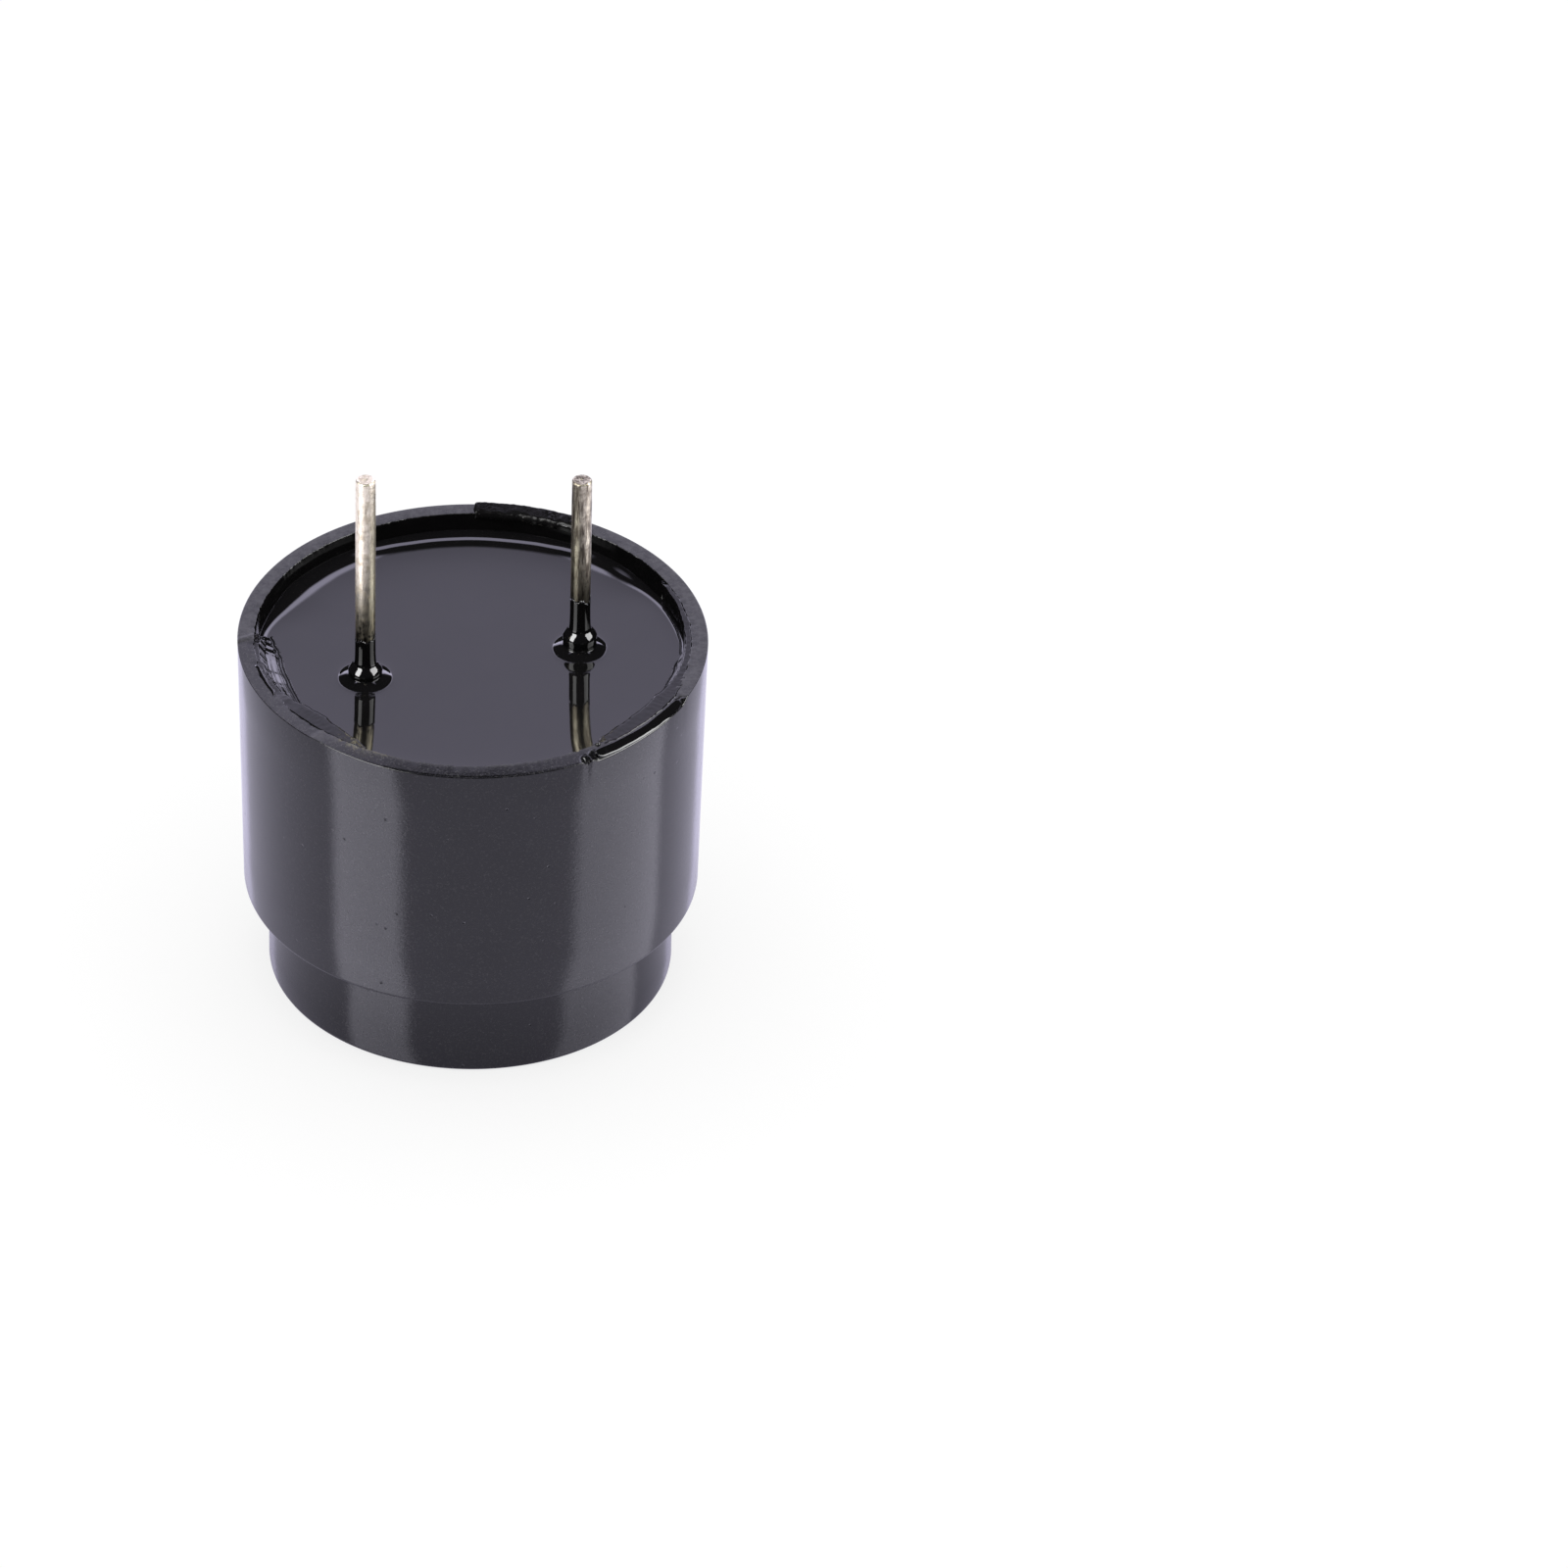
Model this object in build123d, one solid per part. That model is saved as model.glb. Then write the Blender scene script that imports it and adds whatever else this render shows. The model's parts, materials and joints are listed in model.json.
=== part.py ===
from build123d import *
import math
import os

# Piezo buzzer with two pins, potted in a stepped round case. It stands on its sound-hole face:
# the origin is the centre of that face, +Z points to the pins and the pins stand in a row along X.
# All sizes are in millimetres.

# Case, outside
case_height = 19.0
rim_diameter = 23.0
nose_height = 4.9
step_width = 1.23
draft_angle = 1.1
edge_break = 0.15

# Case, inside
rim_wall = 0.85
nose_wall = 1.6
front_wall = 1.6
step_wall = 1.3

# Sound hole
hole_diameter = 5.0
flare_diameter = 8.5
flare_depth = 0.8

# Pins
pin_pitch = 10.8
pin_diameter = 1.0
pin_tail_diameter = 0.9
pin_taper_height = 0.5
positive_pin_reach = 10.2
negative_pin_reach = 8.5
pin_tail_length = 1.3
pin_tip_chamfer = 0.1

# Sounding disc
plate_clearance = 0.41
plate_thickness = 0.2
bare_brass_width = 3.0
ceramic_thickness = 0.22
bare_ceramic_width = 0.5
electrode_thickness = 0.03
feedback_width = 2.6
feedback_length = 5.0
electrode_gap = 0.4
adhesive_lap = 0.8
adhesive_cover = 0.2

# Spacer ring and circuit board
ring_height = 4.6
ring_wall = 1.4
ring_clearance = 0.1
board_thickness = 1.0
board_clearance = 0.1
pin_hole_clearance = 0.05

# Chip parts under the board: length, width, height
resistor_size = (2.0, 1.25, 0.5)
capacitor_size = (2.0, 1.25, 1.0)
chip_cap_length = 0.35
chip_cap_growth = 0.03
transistor_size = (2.9, 1.3, 1.0)
transistor_lead_width = 0.4
transistor_lead_pitch = 0.95
diode_size = (2.7, 1.6, 1.0)
diode_lead_width = 0.6
lead_foot = 0.45
lead_thickness = 0.15
lead_rise = 0.5

# Choke under the board
choke_diameter = 5.0
choke_height = 3.0
choke_flange = 0.6
choke_post_diameter = 2.2
winding_diameter = 4.3
winding_edge = 0.2

# Inner wires and solder
wire_diameter = 0.5
wire_drop = 1.6
wire_lift = 0.05
solder_radius = 0.7
solder_top_radius = 0.35
solder_height = 0.55
pin_solder_radius = 1.1
pin_solder_height = 0.9

# Resin
resin_drop = 1.3
wall_climb = 0.3
wall_climb_width = 0.6
high_climb_width = 0.9
bead_radius = 1.35
bead_neck_radius = 0.72
bead_neck_height = 0.55
bead_wetting_height = 1.9
wall_film = 0.02
root_depth = 0.08
spill_height = 0.22
spill_skin = 0.12
spill_edge_inset = 0.1

# Stretches of the wall where the resin climbs to the rim or spills over it: start, end in degrees
resin_climbs = ((-21.0, 13.0), (181.0, 211.0))
resin_spills = ((-75.0, -40.0), (41.0, 74.0))

# Chip parts and choke under the board: inset of the centre from the spacer ring's inner wall
choke_inset = 4.1
transistor_inset = 4.6
base_resistor_inset = 1.5
feedback_resistor_inset = 1.7
load_resistor_inset = 2.4
capacitor_inset = 2.4
diode_inset = 2.2

# Inner wires: inset of the joints on the board from the ring's inner wall, and of the joints on the disc
# from the edge of the layer that they are soldered to
main_board_inset = 6.2
main_disc_inset = 1.35
feedback_board_inset = 8.3
feedback_disc_inset = 1.9
plate_board_inset = 1.05
plate_disc_inset = 2.2

# Angles round the case in degrees, and for a chip part its own turn
choke_angles = (-90.0, 0.0)
transistor_angles = (127.0, 0.0)
base_resistor_angles = (131.0, 45.0)
feedback_resistor_angles = (66.0, -20.0)
load_resistor_angles = (225.0, 90.0)
capacitor_angles = (-45.0, 90.0)
diode_angles = (28.0, 90.0)
main_wire_angles = (27.0, -36.0)
feedback_wire_angles = (45.0, 90.0)
plate_wire_angles = (156.0, 196.0)

# Worked out from the values above
rim_radius = rim_diameter / 2
draft_slope = math.tan(math.radians(draft_angle))
nose_radius = rim_radius - (case_height - nose_height) * draft_slope - step_width
ledge_z = nose_height + step_wall
plate_top = ledge_z + plate_thickness
ceramic_top = plate_top + ceramic_thickness
electrode_top = ceramic_top + electrode_thickness
ring_bottom = plate_top + adhesive_cover
board_bottom = ring_bottom + ring_height
board_top = board_bottom + board_thickness
resin_level = case_height - resin_drop


def outer_radius(z):
    """Outside of the body's drafted wall at height z."""
    return rim_radius - (case_height - z) * draft_slope


def bore_radius(z):
    """Inside of the body's drafted wall at height z."""
    return outer_radius(z) - rim_wall


plate_radius = bore_radius(ledge_z) - plate_clearance
ceramic_radius = plate_radius - bare_brass_width
electrode_radius = ceramic_radius - bare_ceramic_width
ring_outer = bore_radius(ring_bottom) - ring_clearance
ring_inner = ring_outer - ring_wall
full_pin_bottom = resin_level + bead_wetting_height


def polar(radius, angle):
    """Point at a radius and an angle in degrees round Z."""
    return radius * math.cos(math.radians(angle)), radius * math.sin(math.radians(angle))


def ring_of(inner, outer, bottom, top):
    """Plain ring between two radii and two heights."""
    height = top - bottom
    lift = Pos(0, 0, bottom + height / 2)
    return lift * (Cylinder(outer, height) - Cylinder(inner, height))


def disc_of(radius, bottom, top):
    """Plain disc between two heights."""
    height = top - bottom
    return Pos(0, 0, bottom + height / 2) * Cylinder(radius, height)


def turned(edges, arc=360):
    """Solid turned about Z from a closed outline drawn in the XZ plane."""
    return revolve(make_face(edges), Axis.Z, arc)


def outline(*points):
    """Closed outline of straight lines through (radius, height) points."""
    return Polyline([(r, 0, z) for r, z in points], close=True)


def case():
    """Stepped cup: drafted body, straight nose, front wall with a flared sound hole, inner ledge."""
    inner_nose = nose_radius - nose_wall
    hole_radius = hole_diameter / 2
    section = outline(
        (hole_radius, flare_depth),
        (flare_diameter / 2, 0),
        (nose_radius, 0),
        (nose_radius, nose_height),
        (outer_radius(nose_height), nose_height),
        (rim_radius, case_height),
        (bore_radius(case_height), case_height),
        (bore_radius(ledge_z), ledge_z),
        (inner_nose, ledge_z),
        (inner_nose, front_wall),
        (hole_radius, front_wall),
    )
    cup = turned(section)
    outside = cup.edges().filter_by(GeomType.CIRCLE)
    front_edge = outside.filter_by(lambda e: abs(e.center().Z) < 1e-6 and abs(e.radius - nose_radius) < 1e-6)
    step_edge = outside.filter_by(lambda e: abs(e.center().Z - nose_height) < 1e-6 and e.radius > nose_radius)
    step_edge = step_edge.sort_by(SortBy.RADIUS)[-1]
    return chamfer([front_edge[0], step_edge], edge_break)


def diaphragm_plate():
    """Brass disc on the case's inner ledge."""
    return disc_of(plate_radius, ledge_z, plate_top)


def piezo_ceramic():
    """Ceramic disc bonded to the brass."""
    return disc_of(ceramic_radius, plate_top, ceramic_top)


def feedback_tongue(growth):
    """Tongue from the electrode's edge towards the centre, grown all round for the gap."""
    width = feedback_width + 2 * growth
    tip = electrode_radius - feedback_length - growth
    bar_length = electrode_radius - tip - width / 2
    bar = Pos(0, electrode_radius - bar_length / 2) * Rectangle(width, bar_length)
    return bar + Pos(0, tip + width / 2) * Circle(width / 2)


def electrode(sketch):
    """Silver layer of a flat shape on the ceramic."""
    return Pos(0, 0, ceramic_top) * extrude(sketch, electrode_thickness)


def main_electrode():
    """Silver over the ceramic, apart from the feedback tongue and the gap round it."""
    return electrode(Circle(electrode_radius) - feedback_tongue(electrode_gap))


def feedback_electrode():
    """Silver tongue that senses how the disc swings."""
    return electrode(Circle(electrode_radius) & feedback_tongue(0))


def diaphragm_adhesive():
    """Ring of silicone that fills the gap beside the plate and laps over its edge."""
    return turned(outline(
        (plate_radius, ledge_z),
        (bore_radius(ledge_z), ledge_z),
        (bore_radius(ring_bottom), ring_bottom),
        (plate_radius - adhesive_lap, ring_bottom),
        (plate_radius - adhesive_lap, plate_top),
        (plate_radius, plate_top),
    ))


def spacer_ring():
    """Moulded ring on the adhesive that carries the board."""
    return ring_of(ring_inner, ring_outer, ring_bottom, board_bottom)


def circuit_board():
    """Round board with a hole for each pin."""
    board = disc_of(bore_radius(board_bottom) - board_clearance, board_bottom, board_top)
    for side in (-1, 1):
        hole = Cylinder(pin_tail_diameter / 2 + pin_hole_clearance, 4 * board_thickness)
        board -= Pos(side * pin_pitch / 2, 0, board_bottom) * hole
    return board


def under_board(piece, x, y, turn=0):
    """Hangs a piece, drawn standing on Z = 0, under the board."""
    return Pos(x, y, board_bottom) * Rot(0, 0, turn) * Rot(180, 0, 0) * piece


def in_chamber(piece, inset, angles):
    """Hangs a piece under the board, at an inset from the spacer ring and at its angles."""
    angle, turn = angles
    x, y = polar(ring_inner - inset, angle)
    return under_board(piece, x, y, turn)


def chip(size):
    """Chip part: a body with a soldered cap round each end."""
    length, width, height = size
    foot = Align.CENTER, Align.CENTER, Align.MIN
    body = Pos(0, 0, chip_cap_growth) * Box(length - chip_cap_length, width, height, align=foot)
    cap = Box(chip_cap_length, width + 2 * chip_cap_growth, height + 2 * chip_cap_growth, align=foot)
    for side in (-1, 1):
        body += Pos(side * (length - chip_cap_length) / 2, 0, 0) * cap
    return body


def gull_lead(start, width):
    """Flat lead that leaves a package at start along +X, steps down and ends in a foot on Z = 0."""
    knee = start + lead_thickness
    path = Polyline(
        (start - lead_thickness, 0, lead_rise),
        (knee + lead_thickness, 0, lead_rise),
        (knee + lead_thickness, 0, lead_thickness),
        (knee + lead_foot, 0, lead_thickness),
        (knee + lead_foot, 0, 0),
        (knee, 0, 0),
        (knee, 0, lead_rise - lead_thickness),
        (start - lead_thickness, 0, lead_rise - lead_thickness),
        close=True)
    return extrude(make_face(path), width / 2, both=True)


def package(size, leads):
    """Moulded package with chamfered top edges, and its leads: each a turn, a shift along and a width."""
    length, width, height = size
    foot = Align.CENTER, Align.CENTER, Align.MIN
    body = Pos(0, 0, lead_thickness) * Box(length, width, height, align=foot)
    body = chamfer(body.edges().group_by(Axis.Z)[-1], lead_thickness)
    for turn, shift, lead_width in leads:
        half = length / 2 if turn in (0, 180) else width / 2
        body += Rot(0, 0, turn) * Pos(0, shift, 0) * gull_lead(half, lead_width)
    return body


def driver_transistor():
    """Small transistor with two leads on one side and one on the other."""
    leads = (
        (90, transistor_lead_pitch, transistor_lead_width),
        (90, -transistor_lead_pitch, transistor_lead_width),
        (-90, 0, transistor_lead_width),
    )
    return in_chamber(package(transistor_size, leads), transistor_inset, transistor_angles)


def polarity_diode():
    """Small diode with a lead at each end."""
    leads = ((0, 0, diode_lead_width), (180, 0, diode_lead_width))
    return in_chamber(package(diode_size, leads), diode_inset, diode_angles)


def choke_core():
    """Ferrite drum: a post between two flanges."""
    flange = choke_diameter / 2
    post = choke_post_diameter / 2
    drum = turned(outline(
        (0, 0),
        (flange, 0),
        (flange, choke_flange),
        (post, choke_flange),
        (post, choke_height - choke_flange),
        (flange, choke_height - choke_flange),
        (flange, choke_height),
        (0, choke_height),
    ))
    return in_chamber(drum, choke_inset, choke_angles)


def choke_winding():
    """Copper winding between the drum's flanges, with its outer edges bevelled."""
    bottom = choke_flange
    top = choke_height - choke_flange
    post = choke_post_diameter / 2
    outer = winding_diameter / 2
    bundle = turned(outline(
        (post, bottom),
        (outer - winding_edge, bottom),
        (outer, bottom + winding_edge),
        (outer, top - winding_edge),
        (outer - winding_edge, top),
        (post, top),
    ))
    return in_chamber(bundle, choke_inset, choke_angles)


def solder_cap():
    """Cap of solder on Z = 0."""
    return turned(outline((0, 0), (solder_radius, 0), (solder_top_radius, solder_height), (0, solder_height)))


def pin_solder(side):
    """Cone of solder round a pin's tail, under the board."""
    tail_radius = pin_tail_diameter / 2
    cone = turned(outline((tail_radius, 0), (pin_solder_radius, 0), (tail_radius, pin_solder_height)))
    return under_board(cone, side * pin_pitch / 2, 0)


def pin(side, reach):
    """Round pin: a slim tail through the board and the resin, then the full diameter up to the tip."""
    radius = pin_diameter / 2
    tail_radius = pin_tail_diameter / 2
    tail_z = board_bottom - pin_tail_length
    tip_z = case_height + reach
    rod = turned(outline(
        (0, tail_z),
        (tail_radius, tail_z),
        (tail_radius, full_pin_bottom - pin_taper_height),
        (radius, full_pin_bottom),
        (radius, tip_z - pin_tip_chamfer),
        (radius - pin_tip_chamfer, tip_z),
        (0, tip_z),
    ))
    return Pos(side * pin_pitch / 2, 0, 0) * rod


def wire(board_joint, disc_joint, seat_z):
    """Insulated wire: down from its joint on the board, then bent once into its joint on the disc."""
    start = Vector(*board_joint, board_bottom)
    knee = Vector(*board_joint, board_bottom - wire_drop)
    end = Vector(*disc_joint, seat_z + wire_lift + wire_diameter / 2)
    path = Polyline(start, knee, end)
    section = Plane(origin=path @ 0, z_dir=path % 0) * Circle(wire_diameter / 2)
    return sweep(section, path, transition=Transition.RIGHT)


def wiring(name, board_inset, edge_radius, disc_inset, angles, seat_z):
    """One inner wire and its two solder caps, by node name."""
    board_joint = polar(ring_inner - board_inset, angles[0])
    disc_joint = polar(edge_radius - disc_inset, angles[1])
    board_cap = under_board(solder_cap(), *board_joint)
    disc_cap = Pos(*disc_joint, seat_z) * solder_cap()
    return {
        name + "_lead": wire(board_joint, disc_joint, seat_z) - board_cap - disc_cap,
        name + "_board_solder": board_cap,
        name + "_disc_solder": disc_cap,
    }


def resin_fill():
    """Resin between the board and its level face, with a low hollow climb at the wall all round."""
    wall_top = resin_level + wall_climb
    wall_radius = bore_radius(wall_top)
    return turned(outline(
        (0, board_top),
        (bore_radius(board_top), board_top),
        (wall_radius, wall_top),
        (wall_radius - 0.35 * wall_climb_width, resin_level + 0.3 * wall_climb),
        (wall_radius - wall_climb_width, resin_level),
        (0, resin_level),
    ))


def resin_stretch(start, end, spills):
    """Stretch of resin that reaches the rim between two angles and, where it spills, lies over it."""
    root_z = resin_level - root_depth
    low = resin_level - wall_climb
    wall_radius = bore_radius(low) - wall_film
    top_radius = wall_radius - spill_skin if spills else wall_radius
    root_radius = top_radius - high_climb_width
    profile = [(root_radius, root_z), (root_radius, low), (wall_radius, low)]
    if spills:
        edge = rim_radius - spill_edge_inset
        crown_z = case_height + spill_height
        profile += [
            (wall_radius, case_height),
            (edge, case_height),
            (edge - spill_height, crown_z),
            (top_radius + spill_height, crown_z),
        ]
    profile += [
        (top_radius, case_height),
        (top_radius - 0.25 * high_climb_width, case_height - 0.6 * resin_drop),
        (root_radius + 0.35 * high_climb_width, case_height - 0.9 * resin_drop),
    ]
    return Rot(0, 0, start) * turned(outline(*profile), end - start)


def pin_bead():
    """Collar of resin that flares up from the level face, at Z = 0, and wets a pin."""
    sunk = resin_drop / 2
    return turned(outline(
        (0, -sunk),
        (bead_radius, -sunk),
        (bead_radius, -root_depth),
        (bead_neck_radius, bead_neck_height),
        (pin_diameter / 2, bead_wetting_height),
        (0, bead_wetting_height),
    ))


def potting_resin(pins):
    """Resin from the board up: a level face that climbs the wall, beads that wet the pins, rim spills."""
    fill = resin_fill()
    for start, end in resin_climbs:
        fill += resin_stretch(start, end, spills=False)
    for start, end in resin_spills:
        fill += resin_stretch(start, end, spills=True)
    for side in (-1, 1):
        fill += Pos(side * pin_pitch / 2, 0, resin_level) * pin_bead()
    for rod in pins:
        fill -= rod
    return fill


def build():
    """Every piece by its node name."""
    positive_pin = pin(-1, positive_pin_reach)
    negative_pin = pin(1, negative_pin_reach)
    nodes = {
        "case": case(),
        "diaphragm_plate": diaphragm_plate(),
        "piezo_ceramic": piezo_ceramic(),
        "main_electrode": main_electrode(),
        "feedback_electrode": feedback_electrode(),
        "diaphragm_adhesive": diaphragm_adhesive(),
        "spacer_ring": spacer_ring(),
        "circuit_board": circuit_board(),
        "driver_transistor": driver_transistor(),
        "base_resistor": in_chamber(chip(resistor_size), base_resistor_inset, base_resistor_angles),
        "feedback_resistor": in_chamber(
            chip(resistor_size), feedback_resistor_inset, feedback_resistor_angles),
        "load_resistor": in_chamber(chip(resistor_size), load_resistor_inset, load_resistor_angles),
        "bypass_capacitor": in_chamber(chip(capacitor_size), capacitor_inset, capacitor_angles),
        "polarity_diode": polarity_diode(),
        "choke_core": choke_core(),
        "choke_winding": choke_winding(),
        "positive_pin": positive_pin,
        "negative_pin": negative_pin,
        "positive_solder": pin_solder(-1),
        "negative_solder": pin_solder(1),
        "potting_resin": potting_resin((positive_pin, negative_pin)),
    }
    nodes.update(wiring(
        "main", main_board_inset, electrode_radius, main_disc_inset, main_wire_angles, electrode_top))
    nodes.update(wiring(
        "feedback", feedback_board_inset, electrode_radius, feedback_disc_inset,
        feedback_wire_angles, electrode_top))
    nodes.update(wiring(
        "plate", plate_board_inset, plate_radius, plate_disc_inset, plate_wire_angles, plate_top))
    return nodes


os.makedirs("parts", exist_ok=True)
for node, solid in build().items():
    export_step(solid, "parts/" + node + ".step")
    print(node, round(solid.volume, 3))
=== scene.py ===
import json
import math

import bpy
from mathutils import Matrix, Vector, noise
from mathutils.geometry import delaunay_2d_cdt


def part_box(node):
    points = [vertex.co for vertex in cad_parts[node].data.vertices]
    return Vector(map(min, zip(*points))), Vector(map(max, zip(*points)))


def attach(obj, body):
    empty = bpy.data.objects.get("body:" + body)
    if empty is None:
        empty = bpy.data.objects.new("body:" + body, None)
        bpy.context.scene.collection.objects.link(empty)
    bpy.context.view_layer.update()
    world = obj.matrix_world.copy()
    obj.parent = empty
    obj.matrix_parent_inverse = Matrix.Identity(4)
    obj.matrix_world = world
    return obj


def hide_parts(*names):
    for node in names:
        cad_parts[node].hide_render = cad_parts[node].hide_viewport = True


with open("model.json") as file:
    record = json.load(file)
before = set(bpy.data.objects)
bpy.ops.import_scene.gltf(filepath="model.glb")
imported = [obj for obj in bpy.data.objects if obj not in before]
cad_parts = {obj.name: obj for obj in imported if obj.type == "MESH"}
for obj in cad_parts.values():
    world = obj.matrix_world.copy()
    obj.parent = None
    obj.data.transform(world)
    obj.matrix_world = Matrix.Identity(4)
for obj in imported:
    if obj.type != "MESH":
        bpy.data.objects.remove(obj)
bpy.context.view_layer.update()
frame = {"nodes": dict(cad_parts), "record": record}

# A piezo buzzer that stands on its sound-hole face, with its two pins up.
# Lengths are in millimetres until a mesh is made. Angles are in degrees round Z, with 0 along +X.

MM = 0.001


def cad_size(node, corner, axis):
    """One number of a solid's box, to a micrometre. Corner 0 is the lowest one and 1 the highest."""
    return round(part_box(node)[corner][axis] / MM, 3)


# Case

CASE_TOP = cad_size("case", 1, 2)
RIM_RADIUS = cad_size("case", 1, 0)
RIM_WALL = 0.85
DRAFT = math.tan(math.radians(1.1))
NOSE_HEIGHT = 4.9
NOSE_RADIUS = 9.9993
NOSE_WALL = 1.6
FRONT_WALL = 1.6
LEDGE_Z = cad_size("diaphragm_plate", 0, 2)
HOLE_RADIUS = 2.5
FLARE_RADIUS = 4.25
FLARE_DEPTH = 0.8
FLARE_RIDGES = 14
FLARE_RIDGE = 0.012
CASE_SEGMENTS = 720

# Faults of the rim: stretches are (start, end, softness of the ends) in degrees

ROUNDED_FRONT = (225, 292, 30)
WORN_LEFT = (168, 213, 2)
CHIPPED_RIGHT = (287, 320, 3)
CRACK_ANGLE = 165.5
CRACK_SLANT = 2.6
CRACK_WIDTH = 0.6
NICK_ANGLE = 285.0
NICK_WIDTH = 0.8
RIM_WAVE = 0.012
RIM_SINK = 0.015
FRONT_DROP = 0.18
TEETH_REACH = 0.09
TEETH_DROP = 0.04
LIP_HEIGHT = 0.05
WORN_DROP = 0.04
CHIP_DROP = 0.24
NICK_DROP = 0.22

# Polarity mark

MARK_HEIGHT = 0.01
MARK_X = -6.2
MARK_RADIUS = 2.1
MARK_LINE = 0.11
MARK_TURN = 6

# Pins, each at its side of the middle, with slim tails up to where the tin is bare; a cut end is (radius,
# depth under the tip)

SIDES = {"positive": -1, "negative": 1}
TIPS = {pole: cad_size(pole + "_pin", 1, 2) for pole in SIDES}
PIN_OFFSET = (cad_size("negative_pin", 0, 0) + cad_size("negative_pin", 1, 0)) / 2
PIN_RADIUS = (cad_size("negative_pin", 1, 0) - cad_size("negative_pin", 0, 0)) / 2
TAIL_RADIUS = 0.44
TAIL_Z = cad_size("negative_pin", 0, 2)
TIN_Z = cad_size("potting_resin", 1, 2)
NEAR_AXIS = 0.0001
CUT_END = ((0.47, 0.06), (0.42, 0.02), (0.34, 0.02), (0.2, 0.035), (NEAR_AXIS, 0.04))

# Resin: it wets the bore as (height, reach inward), with more at the back and front, on a low wide rise

BOARD_TOP = cad_size("circuit_board", 1, 2)
LEVEL = 17.45
WET_BACK = (26, 142, 24)
WET_FRONT = (222, 292, 20)
WETTING = (0.16, 0.26)
MORE_AT_BACK = (0.30, 0.66)
MORE_AT_FRONT = (0.25, 0.14)
WIDE_RISE = (0.15, 1.5)
BEAD_EDGE = 2.0
BEAD_SEGMENTS = 96

# Bead of resin round a pin, as (radius, height over the resin): a low foot, and the ball above it

BEAD_FOOT = (
    (2.0, 0.0), (1.7, 0.002), (1.5, 0.006), (1.38, 0.014), (1.32, 0.026), (1.29, 0.041), (1.2, 0.092),
    (1.1, 0.146), (1.0, 0.197), (0.92, 0.236), (0.86, 0.263), (0.82, 0.280),
)
BALL = (
    (0.845, 0.40), (0.838, 0.46), (0.81, 0.52), (0.77, 0.59), (0.72, 0.66), (0.67, 0.72), (0.62, 0.77),
    (0.575, 0.82), (0.55, 0.88),
)
BALL_LIFTS = {"positive": 0.08, "negative": 0.38}
FILM_TOPS = {"positive": 2.55, "negative": 3.1}
FILM_THICKNESS = 0.012
FILM_FLARE = 0.038

# Skins of resin that climb the bore: angle, radius of the crease in the resin's face, radius and height of
# the top, and outer radius

LEFT_CLIMB = (
    (155, 9.95, 10.30, 17.6, 10.62), (158, 9.72, 10.30, 17.8, 10.62), (162, 9.42, 10.35, 18.2, 10.62),
    (166, 9.22, 10.40, 18.5, 10.64), (179, 9.02, 10.40, 18.65, 10.66), (190, 9.0, 10.3, 18.75, 10.68),
    (197, 8.95, 10.1, 18.9, 10.72), (203, 8.85, 9.85, 18.95, 10.75), (208, 8.85, 9.75, 18.95, 10.72),
    (215, 9.1, 9.9, 18.95, 10.7), (222, 9.7, 10.2, 18.95, 10.68), (227, 10.3, 10.5, 18.9, 10.64),
)
RIGHT_CLIMB = (
    (289, 10.35, 10.55, 18.9, 10.7), (294, 9.8, 10.3, 18.96, 10.9), (300, 9.2, 10.15, 18.98, 10.93),
    (306, 8.95, 10.1, 18.99, 10.93), (311, 8.85, 10.08, 18.99, 10.93), (317, 8.95, 10.1, 18.99, 10.93),
    (325, 9.3, 10.25, 18.97, 10.9), (333, 9.5, 10.35, 18.95, 10.7), (343, 9.78, 10.4, 18.93, 10.66),
    (350, 10.15, 10.4, 18.93, 10.66), (356, 10.28, 10.42, 18.95, 10.66), (364, 10.3, 10.42, 18.96, 10.66),
    (371, 10.35, 10.46, 18.95, 10.66), (375, 10.5, 10.56, 18.8, 10.64),
)

# Ridge along the crease, as (distance outward, height), and the rise of the skin beyond it, as shares

CREASE_RIDGE = ((0.0, 0.01), (0.03, 0.05), (0.06, 0.066), (0.09, 0.05), (0.13, 0.02), (0.18, 0.02))
CLIMB_RISE = ((0.0, 0.0), (0.22, 0.286), (0.7, 0.526), (1.0, 1.0))

# Floor: half its side, its glow where it is seen, its sheen in reflections, and how far a painted shade
# dims those in reflections at the part, which fades out between two distances from the middle

FLOOR_HALF = 3000
FLOOR_GLOW = 0.80
FLOOR_SHEEN = 0.11
FLOOR_PAINTED_SHADE = 0.42
FLOOR_PAINTED_SHADE_SPAN = (10, 18)

# Surroundings: the direction behind the part as the camera sees it, the extra glow of the flanks, the glow of
# the strip overhead and of the dark between, the soft glow that lights what is matt, and the tint of mirrored
# light

BACK = Vector((0.2443, 0.9697, 0.0))
FLANK_GLOW = 2.2
OVERHEAD_GLOW = 2.8
DARK_GLOW = 0.02
SOFT_GLOW = 0.35
REFLECTED_TINT = (1.0, 0.955, 1.24)

# Soft edges in the surroundings, each as (start, end): heights are sines of the elevation, sides are 1 minus
# the cosine of the turn away from BACK, and the strip's long edges are shares of BACK in the direction

WALL_TOP = (0.84, 0.88)
WALL_SIDE = (0.10, 0.14)
FLANK_SIDE = (0.04, 0.07)
STRIP_FAR = (0.30, 0.32)
STRIP_NEAR = (0.205, 0.225)
STRIP_LOW = (0.88, 0.92)

# Height that the lamps face

LAMP_AIM = 12

# Camera: its place, its axes, its roll in degrees, and its focal length and picture width in pixels

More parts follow.
